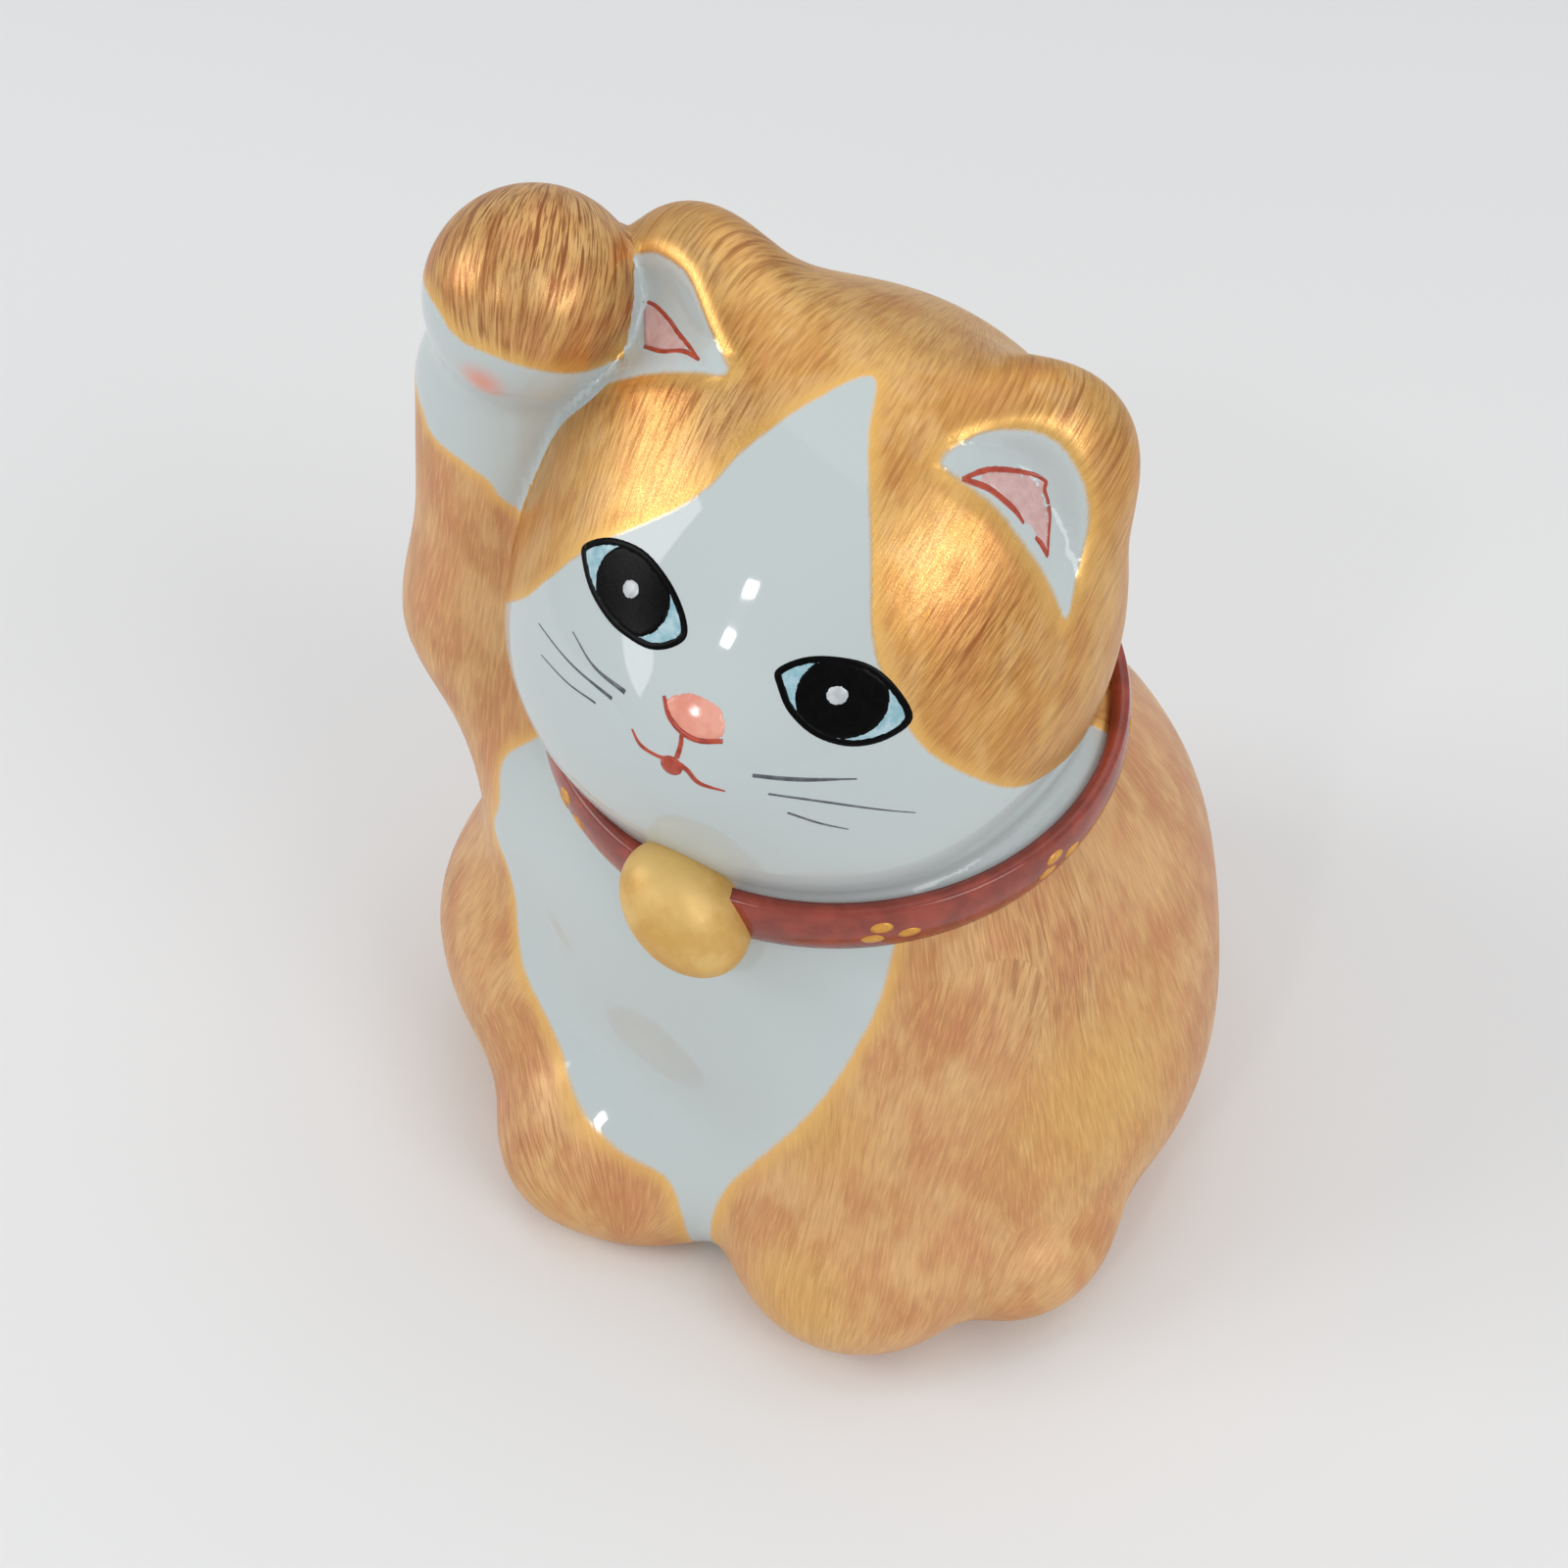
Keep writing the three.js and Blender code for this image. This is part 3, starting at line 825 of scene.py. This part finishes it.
# Places on the trunk and legs with a yellower coat: the place and its reach.
YELLOW_PLACES = (((31.7, -14.8, 22.8), 17), ((14, -36.5, 9), 9), ((12, -30, 24), 8), ((-12, -33, 5), 7))
# The pink dab on the palm of the raised paw.
PALM_BLUSH, PALM_BLUSH_REACH = (-22.6, -17, 79.5), 2.6
PAW_REACH = 13
# The base is bare of glaze below this height.
BARE_BELOW = 0.6


def is_on_head(name):
    return name == "head" or name.startswith("ear")


def flow(name, place):
    """The coordinates that brush strokes follow on a piece."""
    if is_on_head(name):
        return combed_round(place, HEAD_CENTRE, CROWN, HEAD_RADIUS)
    found = combed(place, *COMBS[name])
    if name == "raised_foreleg":
        paw = place[:, 2] > wrist[2] + 2
        found[paw] = combed_round(place[paw], paw_centre, PAW_CROWN, ARM)
    return found


def coat(name, place, normal):
    """The values at each point of a piece that its painted coat is made from."""
    head = is_on_head(name)
    fur_of = fur_on_head if head else fur_on_arm if name == "raised_foreleg" else fur_on_chest
    gilt = np.full(len(place), 0.95 if head else 0.25)
    brown = np.full(len(place), 0.27 if head else 0.12)
    wash = np.full(len(place), 0.3 if head else 0.55)
    blush, yellow = np.zeros(len(place)), np.zeros(len(place))
    local = into_head(place) if head else place
    for spot, reach, more in BROWN_SPOTS if head else BROWN_PLACES:
        brown += more * nearness(local, spot, reach)
    for spot, reach in () if head else YELLOW_PLACES:
        yellow += nearness(place, spot, reach)
    if name == "raised_foreleg":
        on_paw = np.minimum(1, 2.5 * nearness(place, paw_centre, PAW_REACH))
        gilt += 0.7 * on_paw
        brown += 0.55 * on_paw
        brown += 0.7 * nearness(place, paw_centre + np.array([3, -3, 7]), PAW_REACH)
        blush = 0.9 * nearness(place, PALM_BLUSH, PALM_BLUSH_REACH)
    bare = np.clip((-normal[:, 2] - 0.8) * 8, 0, 1) * (place[:, 2] < BARE_BELOW)
    fields = {"fur": fur_of(place), "gilt": gilt, "brown": brown, "wash": wash, "yellow": yellow}
    fields.update({"blush": blush, "bare": bare, "place": place, "flow": flow(name, place)})
    return fields


def build_porcelain():
    """One skin over all the forms, shared out to the pieces, each a closed thin sheet."""
    points, quads = nets(skin, BOX_LOW, BOX_HIGH, STEP)
    points = relax(points, quads, 3)
    owner = share_out(points, quads)
    points = straighten(points, quads, owner)
    normals = outward(points)
    for number, name in enumerate(PIECES):
        used, faces = np.unique(quads[owner == number], return_inverse=True)
        faces = faces.reshape(-1, 4)
        place, normal = points[used], normals[used]
        fields = coat(name, place, normal)
        both = {key: np.concatenate([value, value]) for key, value in fields.items()}
        sheet, whole = thicken(place, faces, normal, SKIN_THICKNESS)
        shell_normals = np.concatenate([normal, -normal])
        material = PORCELAIN[SLOTS[name]]
        piece = make_mesh("glazed_" + name, sheet, whole, material, shell_normals, **both)
        mount(piece, SLOTS[name], name)


# ---- collar and bell ----
def collar_place(azimuth, height, stand=0.0):
    """A place on the collar's face: degrees from the front, height from its middle, and how proud."""
    azimuth, height = np.radians(azimuth), np.asarray(height, float)
    crown = 0.5 * (2 * height / COLLAR_HEIGHT) ** 2
    radius = HEAD_RADIUS + COLLAR_STAND + 0.1 - crown + stand
    local = np.stack([np.sin(azimuth) * radius, -np.cos(azimuth) * radius, height + 0 * radius], axis=-1)
    return COLLAR_CENTRE + local @ COLLAR_TURN.T


def build_collar():
    """A band with a slightly crowned face, swept round the neck."""
    around = np.arange(0, 360, 1.5)
    half = COLLAR_HEIGHT / 2
    profile = [(h, 0) for h in np.linspace(-half, half, 13)]
    profile += [(half - 0.15, -1.2), (0, -2), (-half + 0.15, -1.2)]
    rings = [collar_place(around, np.full(len(around), h), s) for h, s in profile]
    points = np.stack(rings, axis=1).reshape(-1, 3)
    count, width = len(around), len(profile)
    faces = []
    for a in range(count):
        for b in range(width):
            here, up = a * width + b, a * width + (b + 1) % width
            step = ((a + 1) % count - a) * width
            faces.append((here, here + step, up + step, up))
    piece = make_mesh("collar_band", points, faces, MAROON)
    mount(piece, "collar_enamel", "collar")


# The bell's place beside the CAD bell, its half sizes as shares of half its width, and its lean.
BELL_SHIFT, BELL_SHARES, BELL_LEANS = np.array([-1.1, -0.75, 0.3]), np.array([1.14, 0.86, 0.79]), 46


def build_bell():
    """A flattened egg that hangs aslant over the front of the collar."""
    centre = BELL_CENTRE + BELL_SHIFT
    form = egg(centre, BELL_WIDTH / 2 * BELL_SHARES, turn("Y", BELL_LEANS))
    half = BELL_WIDTH * 0.62
    points, quads = nets(form, centre - half, centre + half, BELL_STEP)
    points = settle(points, form)
    piece = make_mesh("gilded_bell", points, quads.tolist(), BELL_GOLD, outward(points, form))
    mount(piece, "bell_gilding", "bell")


# ---- painted features, laid on the glaze as thin enamel ----
def drop(places, out):
    """Places moved onto the glaze against a direction."""
    for _ in range(10):
        rate = slope(skin, places) @ out
        places = places - (skin(places) / np.where(np.abs(rate) < 0.2, 1, rate))[:, None] * out
    return places


def on_face(flat):
    """Places on the face in front of (left, up) points."""
    flat = np.asarray(flat, float)
    depth = -np.sqrt(np.maximum(HEAD_RADIUS**2 - (flat**2).sum(1), 1)) - 1
    places = from_head(np.stack([flat[:, 0], depth, flat[:, 1]], axis=1))
    return drop(places, HEAD_TURN @ np.array([0, -1, 0]))


def on_ear(ear):
    """Places in an ear's cup in front of (outwards, up) points."""

    def lift(flat):
        flat = np.asarray(flat, float)
        local = np.stack([EAR_SIDE[ear] * flat[:, 0], np.full(len(flat), -2.5), flat[:, 1]], axis=1)
        places = from_head(EAR_PLACE[ear] + local @ ear_turn(ear).T)
        return drop(places, HEAD_TURN @ ear_turn(ear) @ np.array([0, -1, 0]))

    return lift


def fill(outline, spacing):
    """Triangles that fill a flat outline: points, triangles, and each point's distance from the edge."""
    low, high = outline.min(0), outline.max(0)
    rows = np.arange(low[1], high[1], spacing * 0.87)
    across = np.arange(low[0], high[0], spacing)
    inner = np.array([(x + (k % 2) * spacing / 2, y) for k, y in enumerate(rows) for x in across])
    inner = inner[beyond(outline, inner) < -0.6 * spacing]
    points = [Vector(p) for p in np.concatenate([outline, inner])]
    edges = [(k, (k + 1) % len(outline)) for k in range(len(outline))]
    made = delaunay_2d_cdt(points, edges, [], 1, 1e-5)
    flat = np.array([tuple(p) for p in made[0]])
    return flat, np.array([tuple(f) for f in made[2]]), -beyond(outline, flat)


def facing_out(faces, places, normal):
    """Triangles with each one turned so that it faces out."""
    corner = places[faces]
    facing = np.cross(corner[:, 1] - corner[:, 0], corner[:, 2] - corner[:, 0]) * normal[faces[:, 0]]
    return np.where(facing.sum(1)[:, None] < 0, faces[:, ::-1], faces)


def lay(name, outline, material, raised, spacing=0.35, lift=on_face, slot="face_glaze"):
    """A patch of enamel on the glaze, with a rounded edge."""
    flat, faces, depth = fill(np.asarray(outline, float), spacing)
    places = lift(flat)
    normal = outward(places)
    proud = raised * np.sqrt(np.clip(depth / (2.2 * raised), 0, 1)) - 0.01
    faces = facing_out(faces, places, normal)
    top = places + proud[:, None] * normal
    sheet, whole = thicken(top, faces, normal, raised + 0.05)
    piece = make_mesh(name, sheet, whole, material)
    mount(piece, slot)


def band(name, rows, raised, material, lift=on_face, slot="face_glaze"):
    """A strip of enamel through rows of flat points, each row as proud as it is said to be."""
    count = len(rows[0])
    places = lift(np.concatenate(rows))
    normal = outward(places)
    faces = np.array([
        (r * count + k, r * count + k + 1, (r + 1) * count + k + 1, (r + 1) * count + k)
        for r in range(len(rows) - 1) for k in range(count - 1)
    ])
    corner = places[faces[len(faces) // 2]]
    if np.cross(corner[1] - corner[0], corner[2] - corner[0]) @ normal[faces[len(faces) // 2, 0]] < 0:
        faces = faces[:, ::-1]
    proud = np.repeat(raised, count)
    sheet, whole = thicken(places + proud[:, None] * normal, faces, normal, 0.12)
    mount(make_mesh(name, sheet, whole, material), slot)


def stroke(name, knots, width, material, raised=0.08, **where):
    """One brush stroke through its knots, with a width at each knot."""
    line = flowing(np.column_stack([np.asarray(knots, float), np.asarray(width, float)]))
    run = np.gradient(line[:, :2], axis=0)
    side = np.stack([-run[:, 1], run[:, 0]], axis=1) / np.linalg.norm(run, axis=1)[:, None]
    half = np.maximum(line[:, 2:], 0.04) / 2
    shares = (-1, -0.6, 0, 0.6, 1)
    rows = [line[:, :2] + side * half * share for share in shares]
    band(name, rows, [-0.02, 0.7 * raised, raised, 0.7 * raised, -0.02], material, **where)


def oval(centre, half, lean=0.0, count=40):
    """A flat oval."""
    angle = np.arange(count) * 2 * np.pi / count
    c, s = math.cos(math.radians(lean)), math.sin(math.radians(lean))
    x, y = half[0] * np.cos(angle), half[1] * np.sin(angle)
    return np.stack([centre[0] + c * x - s * y, centre[1] + s * x + c * y], axis=1)


# Each eye's outline on the face, in (left, up) points.
EYE_OUTLINES = {
    "right": [
        (-14.6, -0.1), (-12.7, 1.7), (-9.8, 2.5), (-7.1, 1.9), (-4.9, 0.6), (-3.7, -0.9),
        (-4.3, -2.2), (-5.8, -3.2), (-7.8, -3.5), (-9.8, -3.4), (-12.1, -2.6), (-13.9, -1.3),
    ],
    "left": [
        (3.1, -0.1), (4.4, 1.5), (6.4, 2.5), (8.8, 2.9), (11.1, 2.1), (13.1, 0.3),
        (12.2, -1.8), (10.2, -3.2), (7.7, -3.4), (5.3, -2.5), (3.8, -1.2),
    ],
}


def build_eye(side, pupil, pupil_half, pupil_lean, light, light_half):
    """Pale ground, black pupil kept inside the outline, a spot of light, and the dark line round it."""
    outline = flowing(EYE_OUTLINES[side], closed=True, samples=5)
    centre = outline.mean(0)
    lay("eye_white_" + side, centre + (outline - centre) * 0.93, TURQUOISE, 0.05)
    disc = oval(pupil, pupil_half, pupil_lean)
    away = disc - np.asarray(pupil)
    for share in np.linspace(0, 0.4, 17):
        outside = beyond(outline, disc) > -0.3
        disc[outside] = (np.asarray(pupil) + away * (1 - share))[outside]
    lay("pupil_" + side, disc, BLACK, 0.1, 0.22)
    lay("eye_light_" + side, oval(light, light_half, 20, 24), EYE_LIGHT, 0.17, 0.2)
    run = np.roll(outline, -1, 0) - np.roll(outline, 1, 0)
    out = np.stack([run[:, 1], -run[:, 0]], axis=1) / np.linalg.norm(run, axis=1)[:, None]
    out *= np.sign(((outline - centre) * out).sum())
    rows = [outline - out * inset for inset in (0, 0.1, 0.3, 0.48, 0.58)]
    rows = [np.concatenate([row, row[:1]]) for row in rows]
    band("eye_line_" + side, rows, [-0.02, 0.05, 0.07, 0.05, 0.01], BLACK)


def build_face():
    """Eyes, nose, mouth and whiskers, each a stroke or a patch of enamel."""
    build_eye("right", (-9.1, -0.5), (3.5, 3.1), -10, (-9.2, -0.4), (0.85, 0.8))
    build_eye("left", (8.1, -0.1), (3.3, 3.1), 0, (7.7, 0.0), (0.9, 0.85))
    nose = flowing([(-3.0, -5.6), (-2.1, -4.4), (-0.6, -3.9), (1.0, -4.1), (1.9, -5.2), (1.9, -6.0),
                    (0.6, -6.7), (-0.8, -6.8), (-2.1, -6.4)], closed=True, samples=4)
    lay("nose", nose, NOSE_PINK, 0.04)
    lines = {
        "nose_line": ([(-3.2, -5.3), (-2.2, -6.3), (-0.8, -6.85), (0.6, -6.8), (2.1, -6.1)],
                      [0.3, 0.45, 0.5, 0.45, 0.4]),
        "lip_line": ([(-0.8, -6.9), (-0.5, -7.8), (-0.4, -8.8)], [0.35, 0.4, 0.45]),
        "mouth": ([(-4.4, -8.8), (-3.3, -9.5), (-1.8, -9.5), (-0.6, -9.2), (0.6, -9.3), (1.8, -9.85),
                   (3.7, -9.6)],
                  [0.15, 0.35, 0.3, 0.5, 0.45, 0.4, 0.12]),
    }
    for name, (knots, width) in lines.items():
        stroke(name, knots, width, LINE_RED)
    lay("tongue", oval((-0.55, -9.6), (0.9, 0.75)), LINE_RED, 0.11, 0.25)
    whiskers = {
        "right_1": ([(-12.3, -5.9), (-9.5, -6.9), (-6.1, -6.8)], [0.1, 0.25, 0.45]),
        "right_2": ([(-15.6, -7.5), (-11.1, -8.1), (-6.9, -7.9)], [0.08, 0.2, 0.35]),
        "right_3": ([(-14.3, -9.4), (-11.0, -9.6), (-8.1, -9.2)], [0.06, 0.15, 0.2]),
        "left_1": ([(5.0, -7.6), (8.2, -6.7), (11.5, -5.4)], [0.35, 0.4, 0.12]),
        "left_2": ([(6.5, -8.6), (11.4, -7.7), (16.2, -6.8)], [0.2, 0.22, 0.08]),
        "left_3": ([(8.2, -9.7), (10.4, -9.8), (12.5, -9.6)], [0.2, 0.2, 0.08]),
    }
    for name, (knots, width) in whiskers.items():
        stroke("whisker_" + name, knots, width, WHISKER_GREY, 0.05)


# The pink of each ear: a filled outline and the red lines round it, in (outwards, up) points.
EAR_PINKS = {
    "ear_left": [
        [(-6.4, -0.7), (-5.4, 0.3), (-4.0, 1.2), (-0.8, 2.6), (0.0, 2.1), (1.4, 1.2), (2.7, -0.6)],
        [(-6.4, -0.7), (-5.1, -0.2), (-3.9, 0.1), (-1.9, 0.2), (-0.6, 0.0)],
        [(2.7, -0.6), (1.7, -0.3), (0.9, -0.2)],
    ],
    "ear_right": [
        [(0.5, 2.6), (-0.8, 2.3), (-2.4, 1.5), (-4.1, 0.4), (-7.4, -0.9)],
        [(-0.9, -0.6), (-3.3, -0.7), (-5.2, -0.5), (-7.4, -0.9)],
    ],
}


def build_ear_pinks():
    for ear, lines in EAR_PINKS.items():
        where = {"lift": on_ear(ear), "slot": "ear_gilding"}
        top, low = flowing(lines[0], samples=4), flowing(lines[1], samples=4)
        outline = np.concatenate([top, low[::-1][1:] if ear == "ear_right" else low[::-1][:-1]])
        lay(ear + "_pink", outline, EAR_PINK, 0.03, **where)
        for number, knots in enumerate(lines):
            width = [0.3] + [0.36] * (len(knots) - 2) + [0.22]
            stroke("%s_line_%d" % (ear, number + 1), knots, width, LINE_RED, 0.06, **where)


# Where the gold dots lie round the collar, the dots of a group, and a dot's half width and height.
GROUP_BEARINGS = (-34, 36, 72, 108, 144, 180, -144, -108, -72)
GROUP_DOTS = ((-0.6, 0.75), (-1.3, -0.6), (1.6, -0.35))
DOT_HALF = (0.92, 0.58)
DEGREES_PER_MM = 2.3


def build_collar_dots():
    """Gold dots in groups of three round the collar."""
    for number, azimuth in enumerate(GROUP_BEARINGS):
        middle = azimuth / DEGREES_PER_MM
        for part, (x, y) in enumerate(GROUP_DOTS):
            flat, faces, depth = fill(oval((middle + x, y), DOT_HALF, 0, 20), 0.35)
            places = collar_place(flat[:, 0] * DEGREES_PER_MM, flat[:, 1], 0.0)
            normal = places - COLLAR_CENTRE
            normal -= np.outer(normal @ COLLAR_TURN[:, 2], COLLAR_TURN[:, 2])
            normal /= np.linalg.norm(normal, axis=1)[:, None]
            faces = facing_out(faces, places, normal)
            proud = 0.08 * np.sqrt(np.clip(depth / 0.2, 0, 1)) + 0.02
            sheet, whole = thicken(places + proud[:, None] * normal, faces, normal, 0.2)
            dot = make_mesh("collar_dot_%d_%d" % (number + 1, part + 1), sheet, whole, COLLAR_GOLD)
            mount(dot, "collar_enamel")


# ---- floor, light and camera ----
FLOOR_PALE, FLOOR_PALER = (0.915, 0.915, 0.915), (0.925, 0.925, 0.925)
FLOOR_HALF = 4
WORLD_COLOUR, WORLD_STRENGTH = (0.97, 0.985, 1.0, 1), 0.6
# Each light: the way to it from the head, then its distance, width and height in metres, and its watts.
LIGHTS = {
    "softbox_left": ((-0.735, -0.44, 0.515), 0.9, 0.42, 0.42, 1.9),
    "softbox_right": ((0.81, -0.28, 0.51), 0.9, 0.42, 0.42, 1.95),
    "front_lamp": ((-0.07, -0.82, 0.57), 0.9, 0.065, 0.055, 0.45),
    "overhead": ((0.1, 0.3, 1.0), 1.4, 1.4, 1.4, 3.2),
}
CAMERA_LENS, CAMERA_SENSOR = 47.25, 36
CAMERA_PLACE = (57.9, -125.3, 162.4)
CAMERA_TILT, CAMERA_BEARING = 47, 27


def build_stage():
    n = Nodes("pale_floor")
    cloud = n.noise(n.node("TexCoord").outputs["Object"], 3.0)
    n.shade(Base_Color=n.mix(cloud, paint(*FLOOR_PALE), paint(*FLOOR_PALER)), Roughness=0.6)
    mesh = bpy.data.meshes.new("floor")
    corners = [(-1, -1), (1, -1), (1, 1), (-1, 1)]
    mesh.from_pydata([(x * FLOOR_HALF, y * FLOOR_HALF, 0) for x, y in corners], [], [(0, 1, 2, 3)])
    mesh.materials.append(n.material)
    floor = bpy.data.objects.new("floor", mesh)
    bpy.context.scene.collection.objects.link(floor)


def add_light(name, direction, distance, width, height, power):
    """A softbox that faces the head."""
    data = bpy.data.lights.new(name, "AREA")
    data.shape = "RECTANGLE"
    data.size, data.size_y = width, height
    data.energy = power
    lamp = bpy.data.objects.new(name, data)
    way = Vector(direction).normalized()
    lamp.location = Vector(HEAD_CENTRE * MM) + way * distance
    lamp.rotation_euler = way.to_track_quat("Z", "Y").to_euler()
    bpy.context.scene.collection.objects.link(lamp)


def build_lights():
    world = bpy.data.worlds.new("studio")
    bpy.context.scene.world = world
    world.use_nodes = True
    background = world.node_tree.nodes["Background"]
    background.inputs["Color"].default_value = WORLD_COLOUR
    background.inputs["Strength"].default_value = WORLD_STRENGTH
    for name, light in LIGHTS.items():
        add_light(name, *light)


def build_camera():
    data = bpy.data.cameras.new("camera")
    data.lens, data.sensor_width = CAMERA_LENS, CAMERA_SENSOR
    data.clip_start = 0.01
    camera = bpy.data.objects.new("camera", data)
    camera.location = Vector(CAMERA_PLACE) * MM
    camera.rotation_euler = (math.radians(CAMERA_TILT), 0, math.radians(CAMERA_BEARING))
    bpy.context.scene.collection.objects.link(camera)
    bpy.context.scene.camera = camera
    bpy.context.scene.view_settings.view_transform = "Standard"


build_camera()
build_stage()
build_lights()
build_porcelain()
build_collar()
build_bell()
build_face()
build_ear_pinks()
build_collar_dots()
